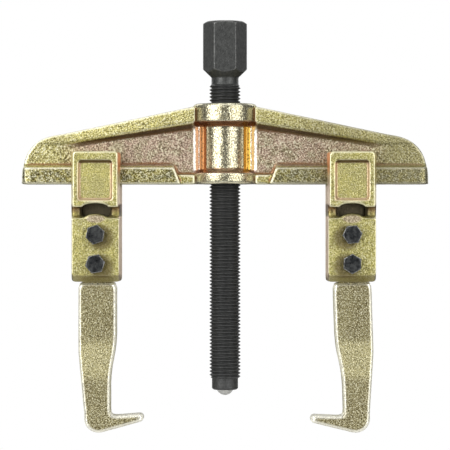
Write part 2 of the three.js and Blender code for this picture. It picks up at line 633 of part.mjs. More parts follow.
addPiece(puller, 'beam', beamBody(), yellowZinc());
addPiece(puller, 'spindle', spindleBody(), screwSteel());
addPiece(puller, 'tip_ball', ballBody(), ballSteel());
addCarriage('left', LEFT_SLIDE_X, NO_TURN, LEFT_JAW_SHIFT, 0, LEFT_HEAD_ANGLES);
addCarriage('right', RIGHT_SLIDE_X, HALF_TURN, 0, RIGHT_JAW_LEAN, RIGHT_HEAD_ANGLES);

export default puller;
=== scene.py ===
"""Looks of the two-jaw gear puller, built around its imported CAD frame.

Units are metres. The forcing screw stands on the Z axis, the beam lies along X and -Y is the front.
"""

import math

import bmesh
import bpy
import numpy as np
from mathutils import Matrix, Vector, noise


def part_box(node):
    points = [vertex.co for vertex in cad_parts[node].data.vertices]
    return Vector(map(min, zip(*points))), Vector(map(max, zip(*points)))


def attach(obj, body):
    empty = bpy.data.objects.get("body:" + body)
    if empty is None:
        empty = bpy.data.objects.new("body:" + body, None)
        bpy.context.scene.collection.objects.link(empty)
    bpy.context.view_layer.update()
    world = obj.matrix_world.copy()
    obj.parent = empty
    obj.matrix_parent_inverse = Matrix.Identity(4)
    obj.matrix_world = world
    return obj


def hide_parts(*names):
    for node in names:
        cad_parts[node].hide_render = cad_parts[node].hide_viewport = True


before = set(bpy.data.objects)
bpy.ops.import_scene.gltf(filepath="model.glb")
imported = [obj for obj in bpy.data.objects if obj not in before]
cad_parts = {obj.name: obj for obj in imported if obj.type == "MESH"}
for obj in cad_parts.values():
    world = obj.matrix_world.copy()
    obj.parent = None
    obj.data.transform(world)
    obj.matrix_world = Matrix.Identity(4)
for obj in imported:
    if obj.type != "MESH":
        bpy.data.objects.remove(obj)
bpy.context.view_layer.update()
scene = bpy.context.scene

MM = 0.001

# ---------------------------------------------------------------- meshes

CAD_SIDES = 40                    # sides of the turned surfaces of the CAD model
TURNED_RELIEF = 0.45              # share of the relief that a turned surface keeps
SOFT_ROUNDING = 1.7 * MM          # rounding of the places that are rounded most
FULL_BEND = 0.35 * MM             # a point this far from its surroundings is a full hollow or edge
NOISE_SHIFT = (17.3, 5.1, 9.7)    # how far the noise moves from one seed to the next


def closed_copy(node):
    """The mesh of a CAD node as a bmesh whose facets share their corners."""
    bm = bmesh.new()
    bm.from_mesh(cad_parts[node].data)
    bmesh.ops.remove_doubles(bm, verts=bm.verts, dist=1e-6)
    return bm


def add_object(name, data):
    obj = bpy.data.objects.new(name, data)
    scene.collection.objects.link(obj)
    return obj


def smooth_shaded(mesh):
    mesh.polygons.foreach_set("use_smooth", np.ones(len(mesh.polygons), bool))


def remeshed(name, bm, voxel):
    """An object whose surface is an even grid of small faces over the shape given."""
    rough = bpy.data.meshes.new(name + "_rough")
    bm.to_mesh(rough)
    bm.free()
    obj = add_object(name, rough)
    mod = obj.modifiers.new("remesh", "REMESH")
    mod.mode = "VOXEL"
    mod.voxel_size = voxel
    mod.use_smooth_shade = True
    depsgraph = bpy.context.evaluated_depsgraph_get()
    fine = bpy.data.meshes.new_from_object(obj.evaluated_get(depsgraph))
    obj.modifiers.clear()
    obj.data = fine
    fine.name = name
    bpy.data.meshes.remove(rough)
    return obj


def points_of(mesh):
    co = np.empty(len(mesh.vertices) * 3)
    mesh.vertices.foreach_get("co", co)
    return co.reshape(-1, 3)


def normals_of(mesh):
    normals = np.empty(len(mesh.vertices) * 3)
    mesh.vertices.foreach_get("normal", normals)
    return normals.reshape(-1, 3)


def set_points(mesh, co):
    mesh.vertices.foreach_set("co", np.ascontiguousarray(co).ravel())
    mesh.update()


def relaxed(mesh, co, rounds, amount=0.5):
    """The points after each has moved several times towards the middle of its neighbours."""
    edges = np.empty(len(mesh.edges) * 2, int)
    mesh.edges.foreach_get("vertices", edges)
    a, b = edges.reshape(-1, 2).T
    count = len(co)
    degree = np.bincount(a, minlength=count) + np.bincount(b, minlength=count)
    degree = np.maximum(degree, 1)[:, None]
    for _ in range(rounds):
        total = np.stack([
            np.bincount(a, co[b, k], count) + np.bincount(b, co[a, k], count) for k in range(3)
        ], axis=1)
        co = co + amount * (total / degree - co)
    return co


def rounds_for(length, voxel):
    """How many rounds of relaxing reach about this far over a grid of this size."""
    return max(1, round(2 * (length / voxel) ** 2))


def bumps(co, scale, seed):
    """Smooth noise at each point, between about -1 and 1; scale is the size of one bump."""
    shift = Vector([seed * way for way in NOISE_SHIFT])
    return np.array([noise.noise(Vector(p) / scale + shift) for p in co])


def store(mesh, name, values):
    """Keeps a value between 0 and 1 for each point of the mesh, for its material to read."""
    layer = mesh.attributes.new(name, "FLOAT", "POINT")
    layer.data.foreach_set("value", np.clip(values, 0, 1).astype(np.float32))


def step(value, low, high):
    """0 below low, 1 above high and smooth between them; low may be the greater."""
    t = np.clip((value - low) / (high - low), 0, 1)
    return t * t * (3 - 2 * t)


def below(value, low, high):
    """1 below low, 0 above high and smooth between them."""
    return 1 - step(value, low, high)


def band(value, low, high, blur):
    """1 between low and high, fading to 0 over blur outside them."""
    return step(value, low - blur, low) * below(value, high, high + blur)


def unfaceted(co, where):
    """Moves the points of a many-sided turned surface about the Z axis out on to true circles."""
    half = math.pi / CAD_SIDES
    off = np.mod(np.arctan2(co[:, 1], co[:, 0]), 2 * half) - half
    factor = np.cos(off) / math.cos(half)
    co = co.copy()
    co[:, :2] *= np.where(where, factor, 1)[:, None]
    return co


def forged(name, bm, voxel, rounding, relief, seed, reach=1.6 * MM, soft=None, regions=None, turned=None):
    """A forged or machined piece: rounded edges, uneven surface, and its hollows and edges marked.

    relief is a list of (bump size, height) pairs, and reach is how wide the hollows and edges are.
    The last three are functions of the points. soft gives how much more each one is rounded, from
    0 to 1, regions gives named weights, which the materials use, and turned tells which points
    belong to a turned surface about the Z axis.
    """
    obj = remeshed(name, bm, voxel)
    mesh = obj.data
    raw = points_of(mesh)
    if turned is not None:
        raw = unfaceted(raw, turned(raw))
    co = relaxed(mesh, raw, rounds_for(rounding, voxel))
    if soft is not None:
        weight = soft(raw)[:, None]
        co = co + weight * (relaxed(mesh, co, rounds_for(SOFT_ROUNDING, voxel)) - co)
    set_points(mesh, co)
    normals = normals_of(mesh)
    wide = relaxed(mesh, co, rounds_for(reach, voxel))
    bend = ((wide - co) * normals).sum(axis=1) / FULL_BEND
    store(mesh, "hollow", bend)
    store(mesh, "edge", -bend)
    if regions is not None:
        for region, weight in regions(raw).items():
            store(mesh, region, weight)
    height = sum(amount * bumps(co, size, seed + k) for k, (size, amount) in enumerate(relief))
    if turned is not None:
        height *= np.where(turned(raw), TURNED_RELIEF, 1)
    set_points(mesh, co + normals * height[:, None])
    smooth_shaded(mesh)
    return obj


# ---------------------------------------------------------------- materials


class Material:
    """A Principled material and short ways to add nodes to it."""

    def __init__(self, name, metallic, roughness):
        self.data = bpy.data.materials.new(name)
        self.data.use_nodes = True
        self.nodes = self.data.node_tree.nodes
        self.links = self.data.node_tree.links
        self.shader = self.nodes["Principled BSDF"]
        self.shader.inputs["Metallic"].default_value = metallic
        self.shader.inputs["Roughness"].default_value = roughness
        self.place = self.nodes.new("ShaderNodeTexCoord").outputs["Object"]

    def feed(self, value, socket):
        """Links another node's output to a socket, or gives it a number or a colour."""
        if isinstance(value, bpy.types.NodeSocket):
            self.links.new(value, socket)
        elif isinstance(value, tuple):
            socket.default_value = (*value, 1)
        else:
            socket.default_value = value

    def noise(self, size, detail=3.0, roughness=0.5):
        """Noise whose features are about this size."""
        node = self.nodes.new("ShaderNodeTexNoise")
        node.inputs["Scale"].default_value = 1 / size
        node.inputs["Detail"].default_value = detail
        node.inputs["Roughness"].default_value = roughness
        self.links.new(self.place, node.inputs["Vector"])
        return node.outputs["Fac"]

    def attribute(self, name):
        node = self.nodes.new("ShaderNodeAttribute")
        node.attribute_name = name
        return node.outputs["Fac"]

    def ramp(self, value, low, high, to_low=0.0, to_high=1.0):
        """value, stretched from low..high to to_low..to_high and held there."""
        node = self.nodes.new("ShaderNodeMapRange")
        node.interpolation_type = "SMOOTHSTEP"
        node.inputs["From Min"].default_value = low
        node.inputs["From Max"].default_value = high
        node.inputs["To Min"].default_value = to_low
        node.inputs["To Max"].default_value = to_high
        self.links.new(value, node.inputs["Value"])
        return node.outputs["Result"]

    def region(self, name, outside=0.0, inside=1.0):
        """One value inside a region of the piece and another outside it."""
        return self.ramp(self.attribute(name), 0, 1, outside, inside)

    def mix(self, factor, a, b):
        node = self.nodes.new("ShaderNodeMix")
        node.data_type = "RGBA"
        for value, socket in ((factor, 0), (a, 6), (b, 7)):
            self.feed(value, node.inputs[socket])
        return node.outputs[2]

    def lay(self, colour, name, over, share=None):
        """Lays another colour over a colour in a region of the piece."""
        weight = self.attribute(name)
        if share is not None:
            weight = self.math("MULTIPLY", weight, share)
        return self.mix(weight, colour, over)

    def mottled(self, size, first, second, low=0.35, high=0.65, detail=3):
        """Two colours that change into one another in patches of about this size."""
        return self.mix(self.ramp(self.noise(size, detail), low, high), first, second)

    def math(self, operation, a, b):
        node = self.nodes.new("ShaderNodeMath")
        node.operation = operation
        self.feed(a, node.inputs[0])
        self.feed(b, node.inputs[1])
        return node.outputs[0]

    def normal(self, axis):
        geometry = self.nodes.new("ShaderNodeNewGeometry")
        split = self.nodes.new("ShaderNodeSeparateXYZ")
        self.links.new(geometry.outputs["Normal"], split.inputs[0])
        return split.outputs[axis]

    def facing(self, axis):
        """How far the surface faces along an axis of the model, either way."""
        return self.math("ABSOLUTE", self.normal(axis), 0.0)

    def bump(self, height, distance, strength=1.0, under=None):
        node = self.nodes.new("ShaderNodeBump")
        self.feed(strength, node.inputs["Strength"])
        node.inputs["Distance"].default_value = distance
        self.links.new(height, node.inputs["Height"])
        if under is not None:
            self.links.new(under, node.inputs["Normal"])
        return node.outputs["Normal"]

    def finish(self, **sockets):
        """Links the sockets of the shader and gives back the material."""
        for name, value in sockets.items():
            self.links.new(value, self.shader.inputs[name.replace("_", " ")])
        return self.data


DIRT = (0.06, 0.045, 0.015)
ORANGE = (0.36, 0.165, 0.06)
AMBER = (0.53, 0.31, 0.055)
PALE = (0.95, 0.92, 0.70)

# beam
STRAW = (0.70, 0.63, 0.22)
DULL_STRAW = (0.60, 0.54, 0.21)
RAIL_OLIVE = (0.42, 0.37, 0.11)
RAIL_BROWN = (0.27, 0.255, 0.13)
WEB_PINK = (0.56, 0.395, 0.30)
WEB_TAN = (0.46, 0.375, 0.24)
NOSE_OLIVE = (0.50, 0.45, 0.19)
SHELF_OLIVE = (0.54, 0.475, 0.14)
HUB_GOLD = (0.53, 0.485, 0.33)
HOLLOW_BROWN = (0.24, 0.11, 0.045)
EAVE_BROWN = (0.10, 0.06, 0.025)
ARM_HIGHLIGHT_CREAM = (0.92, 0.90, 0.84)
COLLAR_BROWN = (0.26, 0.10, 0.035)
SHADE_OLIVE = (0.20, 0.18, 0.10)

# sliders
SLIDE_YELLOW = (0.64, 0.58, 0.185)
SLIDE_OLIVE = (0.54, 0.49, 0.18)
SIDE_PINK = (0.73, 0.56, 0.41)
DOME_TAN = (0.45, 0.36, 0.27)
BOLT_SHADOW_BROWN = (0.17, 0.13, 0.055)
FOOT_BROWN = (0.22, 0.17, 0.08)
WEB_REFLECTION_ORANGE = (0.80, 0.36, 0.16)
SLIDE_HIGHLIGHT_CREAM = (1.0, 0.96, 0.70)
SLIDE_HOLLOW_BROWN = (0.26, 0.13, 0.06)
PANEL_WALL_PINK = (0.68, 0.50, 0.38)
TOP_WALL_BROWN = (0.13, 0.085, 0.04)
VALLEY_BROWN = (0.20, 0.095, 0.045)
VALLEY_OLIVE = (0.26, 0.22, 0.07)
WINDOW_BROWN = (0.125, 0.10, 0.055)

# jaws
JAW_TAN = (0.33, 0.285, 0.145)
JAW_STRAW = (0.375, 0.33, 0.165)
REFLECTION_STRAW = (0.60, 0.54, 0.28)
SIDE_CREAM = (1.0, 0.96, 0.76)
SIDE_STRAW = (0.70, 0.65, 0.40)
TOP_CREAM = (1.0, 0.98, 0.88)
JAW_HIGHLIGHT_CREAM = (1.0, 0.98, 0.86)
HIDDEN_BROWN = (0.13, 0.11, 0.07)

BEAM_GRAIN = 0.85 * MM
FINE_GRAIN = 0.74 * MM
SLOW_WAVE = 2.2 * MM
ZINC_METALLIC = 0.8


def grain_of(m, size):
    """The noise that gives blasted zinc both its specks and its roughness."""
    return m.noise(size, detail=1.5, roughness=0.6)


def speckled(m, colour, grain, dark, light):
    """Lays the dark and bright specks of blasted zinc over a colour, fewer on sides and tops."""
    dark = m.math("MULTIPLY", m.ramp(m.facing("Y"), 0.15, 0.6, 0.25, 1.0), dark)
    colour = m.mix(m.math("MULTIPLY", m.ramp(grain, 0.32, 0.54, 1.0, 0.0), dark), colour, DIRT)
    return m.mix(m.math("MULTIPLY", m.ramp(grain, 0.50, 0.68), light), colour, PALE)


def blasted(m, grain, depth, machined=None):
    """The normal of a blasted surface: coarse grain over slow waves, weaker on the narrow sides.

    machined, where given, names the region in which the grain is fainter.
    """
    strength = m.ramp(m.facing("X"), 0.4, 0.9, 1.0, 0.35)
    if machined is not None:
        strength = m.math("MULTIPLY", strength, m.region(machined, 1.0, 0.72))
    normal = m.bump(grain, depth, strength)
    return m.bump(m.noise(SLOW_WAVE, detail=2), depth * 0.6, strength, under=normal)


def beam_finish():
    """Yellow zinc on the beam: pink webs, a bright hub and a dull rail, painted shade in its orange
    hollows and painted highlights on its edges.
    """
    m = Material("beam_zinc", ZINC_METALLIC, roughness=0.42)
    grain = grain_of(m, BEAM_GRAIN)
    colour = m.mottled(11 * MM, STRAW, DULL_STRAW)
    colour = m.lay(colour, "rail", m.mottled(3 * MM, RAIL_OLIVE, RAIL_BROWN, low=0.4))
    colour = m.lay(colour, "web", m.mottled(5 * MM, WEB_PINK, WEB_TAN, high=0.7))
    # painted light: faces turned along X are painted pale
    colour = m.mix(m.ramp(m.facing("X"), 0.5, 0.9), colour, PALE)
    colour = m.lay(colour, "nose", NOSE_OLIVE, 0.5)
    colour = m.lay(colour, "shelf", SHELF_OLIVE)
    colour = m.lay(colour, "hub", HUB_GOLD)
    dark = m.math("SUBTRACT", m.region("rail", 0.8, 1.0), m.region("hub", 0, 0.05))
    colour = speckled(m, colour, grain, dark, 0.7)
    # painted highlight along the edges
    colour = m.mix(m.ramp(m.attribute("edge"), 0.25, 0.9, 0.0, 0.8), colour, PALE)
    # painted shade in the hollows
    colour = m.mix(m.ramp(m.attribute("hollow"), 0.15, 0.6, 0.0, 0.85), colour, HOLLOW_BROWN)
    colour = m.lay(colour, "eave", EAVE_BROWN, 0.9)
    # painted highlight along the rounded edges of the arms beside the waist
    colour = m.lay(colour, "arm_highlight", ARM_HIGHLIGHT_CREAM, m.ramp(grain, 0.36, 0.5, 0.65, 1.0))
    # painted reflection: the grooves beside the waist are orange, amber on the right
    colour = m.lay(colour, "groove", m.mix(m.attribute("amber"), ORANGE, AMBER))
    colour = m.lay(colour, "collar_shade", COLLAR_BROWN)
    colour = m.lay(colour, "shade", SHADE_OLIVE, m.region("web", 0.55, 0.25))
    roughness = m.region("hub", 0.40, 0.25)
    return m.finish(Base_Color=colour, Roughness=roughness, Normal=blasted(m, grain, 0.26 * MM, "hub"))


def slide_finish():
    """Yellow zinc on the sliders: olive fronts, painted light on the pink sides and panel walls, painted
    shade in the brown hollows.
    """
    m = Material("slide_zinc", ZINC_METALLIC, roughness=0.40)
    grain = grain_of(m, FINE_GRAIN)
    colour = m.mottled(9 * MM, SLIDE_YELLOW, SLIDE_OLIVE)
    # painted light: the sides, the inner ones most, are painted pink
    side = m.math("MULTIPLY", m.ramp(m.facing("X"), 0.3, 0.9), m.region("inner", 0.35, 1.0))
    pink = m.math("MAXIMUM", side, m.region("dome", 0, 0.7))
    colour = m.mix(pink, colour, SIDE_PINK)
    colour = m.mix(m.region("dome", 0, 0.45), colour, DOME_TAN)
    colour = speckled(m, colour, grain, 0.6, 0.5)
    # painted shadow of each bolt head on the plate
    colour = m.lay(colour, "bolt_shadow", BOLT_SHADOW_BROWN, 0.8)
    colour = m.lay(colour, "foot", FOOT_BROWN, 0.55)
    # painted orange reflection of the web on the inner sides
    colour = m.lay(colour, "web_reflection", WEB_REFLECTION_ORANGE, m.ramp(m.facing("X"), 0.5, 0.9))
    # painted highlight along the edges, none in the valley and little on the sill
    in_front = m.ramp(m.attribute("valley"), 0.2, 0.8, 1.0, 0.0)
    edge = m.math("MULTIPLY", m.ramp(m.attribute("edge"), 0.16, 0.65, 0.0, 0.65), in_front)
    colour = m.mix(m.math("MULTIPLY", edge, m.region("sill", 1.0, 0.2)), colour, SLIDE_HIGHLIGHT_CREAM)
    # painted shade in the hollows
    colour = m.mix(m.ramp(m.attribute("hollow"), 0.08, 0.5, 0.0, 0.7), colour, SLIDE_HOLLOW_BROWN)
    # painted light on the side and bottom walls of the panel, painted shade on its top wall
    colour = m.lay(colour, "panel_wall", PANEL_WALL_PINK, 0.6)
    colour = m.lay(colour, "top_wall", TOP_WALL_BROWN, 0.9)
    # painted shade in the valley between box and plate, darkest in the window
    valley = m.mix(m.attribute("valley_low"), VALLEY_BROWN, VALLEY_OLIVE)
    colour = m.lay(colour, "valley", valley, 0.75)
    colour = m.lay(colour, "window", WINDOW_BROWN)
    roughness = m.ramp(m.noise(2.5 * MM), 0.3, 0.7, 0.36, 0.44)
    return m.finish(Base_Color=colour, Roughness=roughness, Normal=blasted(m, grain, 0.20 * MM))


def jaw_finish():
    """Pale zinc on the jaws, with a painted lighter band of reflection in the middle of the leg and
    painted light along edges, sides and tops.
    """
    m = Material("jaw_zinc", ZINC_METALLIC, roughness=0.40)
    grain = grain_of(m, FINE_GRAIN)
    flat_side = (0.97, 0.995)
    colour = m.mottled(12 * MM, JAW_TAN, JAW_STRAW)
    # painted reflection: a lighter band across the middle of the leg
    colour = m.lay(colour, "brightened", REFLECTION_STRAW)
    # painted light: the sides and tops of the jaws are painted cream
    colour = m.mix(m.ramp(m.facing("X"), 0.6, 0.95), colour, SIDE_CREAM)
    colour = m.mix(m.ramp(m.facing("X"), *flat_side, 0.0, 0.6), colour, SIDE_STRAW)
    colour = m.mix(m.ramp(m.normal("Z"), 0.25, 0.7), colour, TOP_CREAM)
    colour = speckled(m, colour, grain, m.region("heel", 0.7, 0.95), 0.6)
    # painted highlight along the edges
    colour = m.mix(m.ramp(m.attribute("edge"), 0.2, 0.8, 0.0, 0.9), colour, JAW_HIGHLIGHT_CREAM)
    colour = m.lay(colour, "hidden", HIDDEN_BROWN)
    roughness = m.ramp(m.attribute("edge"), 0.2, 0.8, 0.40, 0.30)
    turned_away = m.math("MAXIMUM", m.facing("X"), m.facing("Z"))
    rim = m.ramp(turned_away, 0.55, 0.85, ZINC_METALLIC, 0.15)
    metallic = m.math("ADD", rim, m.ramp(m.facing("X"), *flat_side, 0.0, 0.55))
    return m.finish(Base_Color=colour, Roughness=roughness, Metallic=metallic,
                    Normal=blasted(m, grain, 0.20 * MM))


def dark_steel(name, main, second, brightened, wear_and_highlight, roughness, highlight_rub=(0.15, 0.8)):
    """Oiled black steel, bright along its edges partly from scuffing and partly as a painted highlight;
    highlight_rub is how sharp an edge must be for that.
    """
    m = Material(name, metallic=0.6, roughness=roughness)
    colour = m.mottled(2 * MM, main, second, detail=4)
    rub_and_highlight = m.math("MULTIPLY", m.ramp(m.attribute("edge"), *highlight_rub), m.ramp(m.noise(1.2 * MM), 0.3, 0.6))
    # partly scuffing, partly a painted highlight on the edges
    colour = m.mix(m.math("MULTIPLY", rub_and_highlight, wear_and_highlight), colour, brightened)
    smear = m.ramp(m.noise(1.5 * MM), 0.3, 0.7, roughness - 0.08, roughness + 0.1)
    return m.finish(Base_Color=colour, Roughness=smear, Normal=m.bump(m.noise(0.8 * MM), 0.06 * MM))


def polished(name):
    m = Material(name, metallic=1.0, roughness=0.15)
    colour = m.mottled(2 * MM, (0.62, 0.62, 0.6), (0.5, 0.5, 0.47))
    scuffs = m.ramp(m.noise(0.6 * MM), 0.35, 0.7, 0.12, 0.3)
    return m.finish(Base_Color=colour, Roughness=scuffs)


def paper_finish():
    m = Material("paper", metallic=0.0, roughness=0.8)
    return m.finish(Base_Color=m.mix(m.noise(50 * MM, detail=2), (0.86, 0.86, 0.86), (0.9, 0.9, 0.9)))


beam_zinc = beam_finish()
slide_zinc = slide_finish()
jaw_zinc = jaw_finish()
screw_steel = dark_steel("screw_steel", (0.060, 0.062, 0.060), (0.078, 0.080, 0.077),
                         brightened=(0.3, 0.3, 0.29), wear_and_highlight=0.5, roughness=0.45)
thread_steel = dark_steel("thread_steel", (0.048, 0.049, 0.048), (0.062, 0.063, 0.062),
                          brightened=(0.11, 0.11, 0.11), wear_and_highlight=0.5, roughness=0.5)
black_oxide = dark_steel("black_oxide", (0.020, 0.022, 0.024), (0.070, 0.073, 0.073),
                         brightened=(0.50, 0.50, 0.48), wear_and_highlight=0.8, roughness=0.35, highlight_rub=(0.06, 0.4))
ball_steel = polished("ball_steel")


def dress(obj, body, material, slot, *nodes):
    """Gives a piece its material and its place in the frame."""
    obj.data.materials.clear()
    obj.data.materials.append(material)
    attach(obj, body)
    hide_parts(*nodes)
    return obj


# ---------------------------------------------------------------- beam

FORGED_RELIEF = [(8 * MM, 0.05 * MM), (2.4 * MM, 0.03 * MM), (1.3 * MM, 0.03 * MM)]
BEAM_SEED = 1

BEAM_BOTTOM = 142.7 * MM
RAIL_TOP = 152.6 * MM
RAIL_END_X = 25.6 * MM            # the inner end of the rail, at its bottom
RAIL_END_SLOPE = 0.4              # the end leans out by this much per unit of height
SHELF_TOP = 148.8 * MM
HUB_RADIUS = 18.4 * MM
BORE_WALL_RADIUS = 11 * MM        # everything turned lies outside this radius
WAIST = (149.6 * MM, 178.0 * MM)  # bottom and top of the hub's waist
GROOVE = (10.8 * MM, 14.7 * MM)   # where the valleys beside the waist lie along X
ARM_START_X = 17.4 * MM
ARM_EDGE = (14.9 * MM, 17.6 * MM)
ARM_EDGE_DEPTH = (7 * MM, 8 * MM)     # the rounded edge of an arm, with its painted highlight, ends between these depths
SOFT_EDGE = (14 * MM, 18.5 * MM)
FLANGE_REACH = (18.2 * MM, 93.1 * MM)     # the flange starts and ends here along X
FLANGE_UNDER = (177.2 * MM, 165.1 * MM)   # and its underside is at these heights there
FLANGE_RUN_OUT = 12 * MM          # the shade under the flange fades over its last stretch
EAVE = (2.2 * MM, 0.2 * MM)       # how far below the flange the shade starts and ends
POCKET_DEPTH = 10.4 * MM          # the webs lie deeper than this
WEB_FADE = (100 * MM, 78 * MM)    # the pink of the webs fades in between these
COLLAR_FOOT = (176.2 * MM, 178.3 * MM)    # the shaded slope under the upper collar
COLLAR_HEAD = (149.0 * MM, 150.2 * MM)    # and the one over the lower collar
SHADE_REACH = (5 * MM, 70 * MM)   # the beam is painted in more shade towards its right end
BLUR = 0.4 * MM


def beam_regions(co):
    """Where the beam has its webs, rail, shelf, nose, hub and the grooves beside its waist."""
    x, y, z = np.abs(co[:, 0]), np.abs(co[:, 1]), co[:, 2]
    radius = np.hypot(x, y)
    hub = below(radius, HUB_RADIUS - 0.3 * MM, HUB_RADIUS + 0.3 * MM)
    hub *= below(x, ARM_START_X - 0.2 * MM, ARM_START_X + BLUR)
    rail_end = RAIL_END_X + RAIL_END_SLOPE * (z - BEAM_BOTTOM)
    rail = below(z, RAIL_TOP - 0.6 * MM, RAIL_TOP) * step(x, rail_end - 0.6 * MM, rail_end)
    past_arm = step(x, ARM_START_X, ARM_START_X + 1 * MM)
    shelf = below(z, SHELF_TOP - 0.6 * MM, SHELF_TOP) * past_arm * (1 - rail)
    under = np.interp(x, FLANGE_REACH, FLANGE_UNDER)
    web = below(y, POCKET_DEPTH - 1 * MM, POCKET_DEPTH) * step(x, *WEB_FADE) * (1 - rail)
    web *= step(x, ARM_START_X - 0.5 * MM, ARM_START_X + 0.5 * MM)
    web *= step(z, SHELF_TOP - 0.5 * MM, SHELF_TOP) * below(z, under - BLUR, under + BLUR)
    eave = band(z, under - EAVE[0], under - EAVE[1], 0.6 * MM)
    eave *= step(x, ARM_START_X, ARM_START_X + 2 * MM)
    eave *= below(x, FLANGE_REACH[1] - FLANGE_RUN_OUT, FLANGE_REACH[1])
    nose = step(x, FLANGE_REACH[1] - 0.8 * MM, FLANGE_REACH[1]) * step(z, RAIL_TOP, RAIL_TOP + 1 * MM)
    waist = band(z, *WAIST, 0.6 * MM)
    groove = band(x, *GROOVE, 0.5 * MM) * waist
    collar_shade = band(z, *COLLAR_FOOT, BLUR) + 0.8 * band(z, *COLLAR_HEAD, BLUR)
    collar_shade *= (1 - past_arm) * step(radius, 12 * MM, 12.3 * MM)
    return {
        "hub": hub, "rail": rail, "shelf": shelf, "web": web, "eave": eave, "nose": nose,
        "groove": groove, "amber": groove * step(co[:, 0], 0, 5 * MM),
        "arm_highlight": band(x, *ARM_EDGE, BLUR) * waist * below(y, *ARM_EDGE_DEPTH),
        "collar_shade": collar_shade, "shade": step(co[:, 0], *SHADE_REACH),
    }


def on_hub(co):
    radius = np.hypot(co[:, 0], co[:, 1])
    return (radius < HUB_RADIUS) & (np.abs(co[:, 0]) < ARM_START_X) & (radius > BORE_WALL_RADIUS)


def beam_soft(co):
    """The edges of the arms beside the waist are well rounded."""
    x, y, z = np.abs(co[:, 0]), np.abs(co[:, 1]), co[:, 2]
    return band(x, *SOFT_EDGE, 0.8 * MM) * band(z, *WAIST, 0.8 * MM) * below(y, *ARM_EDGE_DEPTH)


beam = forged("forged_beam", closed_copy("beam"), 0.6 * MM, 0.75 * MM, FORGED_RELIEF, BEAM_SEED,
              soft=beam_soft, regions=beam_regions, turned=on_hub)
dress(beam, "beam_body", beam_zinc, "beam_zinc", "beam")

# ---------------------------------------------------------------- sliders

SLIDE_SEED = 10

BOX_FRONT = 22.0 * MM
BOX_BOTTOM = 129.5 * MM
PLATE_FRONT = 19 * MM
PLATE_TOP = 123.8 * MM
PANEL_HALF_WIDTH = 8.95 * MM
PANEL_BOTTOM = 134.0 * MM
PANEL_TOP = 155.2 * MM
PANEL_FLOOR = BOX_FRONT - 2.4 * MM
BOLTS = (113.8 * MM, 97.1 * MM)
DOME_CENTRE = 122.8 * MM          # the top of the plate rises here in a low dome
DOME_HALF_WIDTH = 7 * MM
DOME_HALF_HEIGHT = 3 * MM
DOME_EDGE = (0.5, 1.0)            # its tan fades from half way out to the rim
DOME_DEPTH = (15 * MM, 17 * MM)
VALLEY = (PLATE_TOP + 0.9 * MM, BOX_BOTTOM + 1.2 * MM)
VALLEY_DEPTH = (17 * MM, 20.5 * MM)
VALLEY_TURN = (128.5 * MM, 125 * MM)  # the valley turns from brown to olive between these
TONGUE_POCKET = (6 * MM, 7 * MM)    # the walls of the tongue's pocket start here
WINDOW_DEPTH = (12 * MM, 15.2 * MM)
WINDOW_SIDE = (8 * MM, 11 * MM)
BOLT_SHADOW_REACH = (5 * MM, 9.5 * MM)    # the painted shadow beside each bolt head fades between these
BOLT_SHADOW_DROP = 1.8 * MM               # it lies a little below the bolt
BOLT_SHADOW_INWARD = 3.2 * MM             # and towards the screw
BOLT_SHADOW_DEPTH = (16 * MM, 17 * MM)    # on the front of the plate only
POCKET_WALL = 7.5 * MM
FOOT_CORNER = (87.5 * MM, 90.5 * MM)  # the lower corners are rounded up to here
FOOT_SIDE = (10.5 * MM, 12.5 * MM)    # and in from the sides to here
FOOT = (91.8 * MM, 89.6 * MM)     # the slope under the plate is darker
SILL = (89.4 * MM, 92 * MM)       # and its upper edge gets no painted highlight
WEB_REFLECTION_SPAN = (152 * MM, 160 * MM)       # the inner side is painted orange next to the web, as a painted reflection of it


def slide_soft(co, centre):
    """The groove between box and plate is a smooth valley, and the lower corners are well rounded."""
    x, y, z = np.abs(co[:, 0] - centre), np.abs(co[:, 1]), co[:, 2]
    valley = band(z, PLATE_TOP - 0.2 * MM, BOX_BOTTOM + 0.2 * MM, 1 * MM)
    valley *= band(y, POCKET_WALL, PLATE_FRONT, 2 * MM)
    foot = below(z, *FOOT_CORNER) * step(x, *FOOT_SIDE)
    return np.maximum(valley, foot)


def bolt_shadows(co, centre):
    """The painted shadow around each bolt head, cast a little below it and towards the screw."""
    inward = co[:, 0] - centre + math.copysign(BOLT_SHADOW_INWARD, centre)
    patches = [below(np.hypot(inward, co[:, 2] - bolt + BOLT_SHADOW_DROP), *BOLT_SHADOW_REACH) for bolt in BOLTS]
    return np.max(patches, axis=0) * step(-co[:, 1], *BOLT_SHADOW_DEPTH)


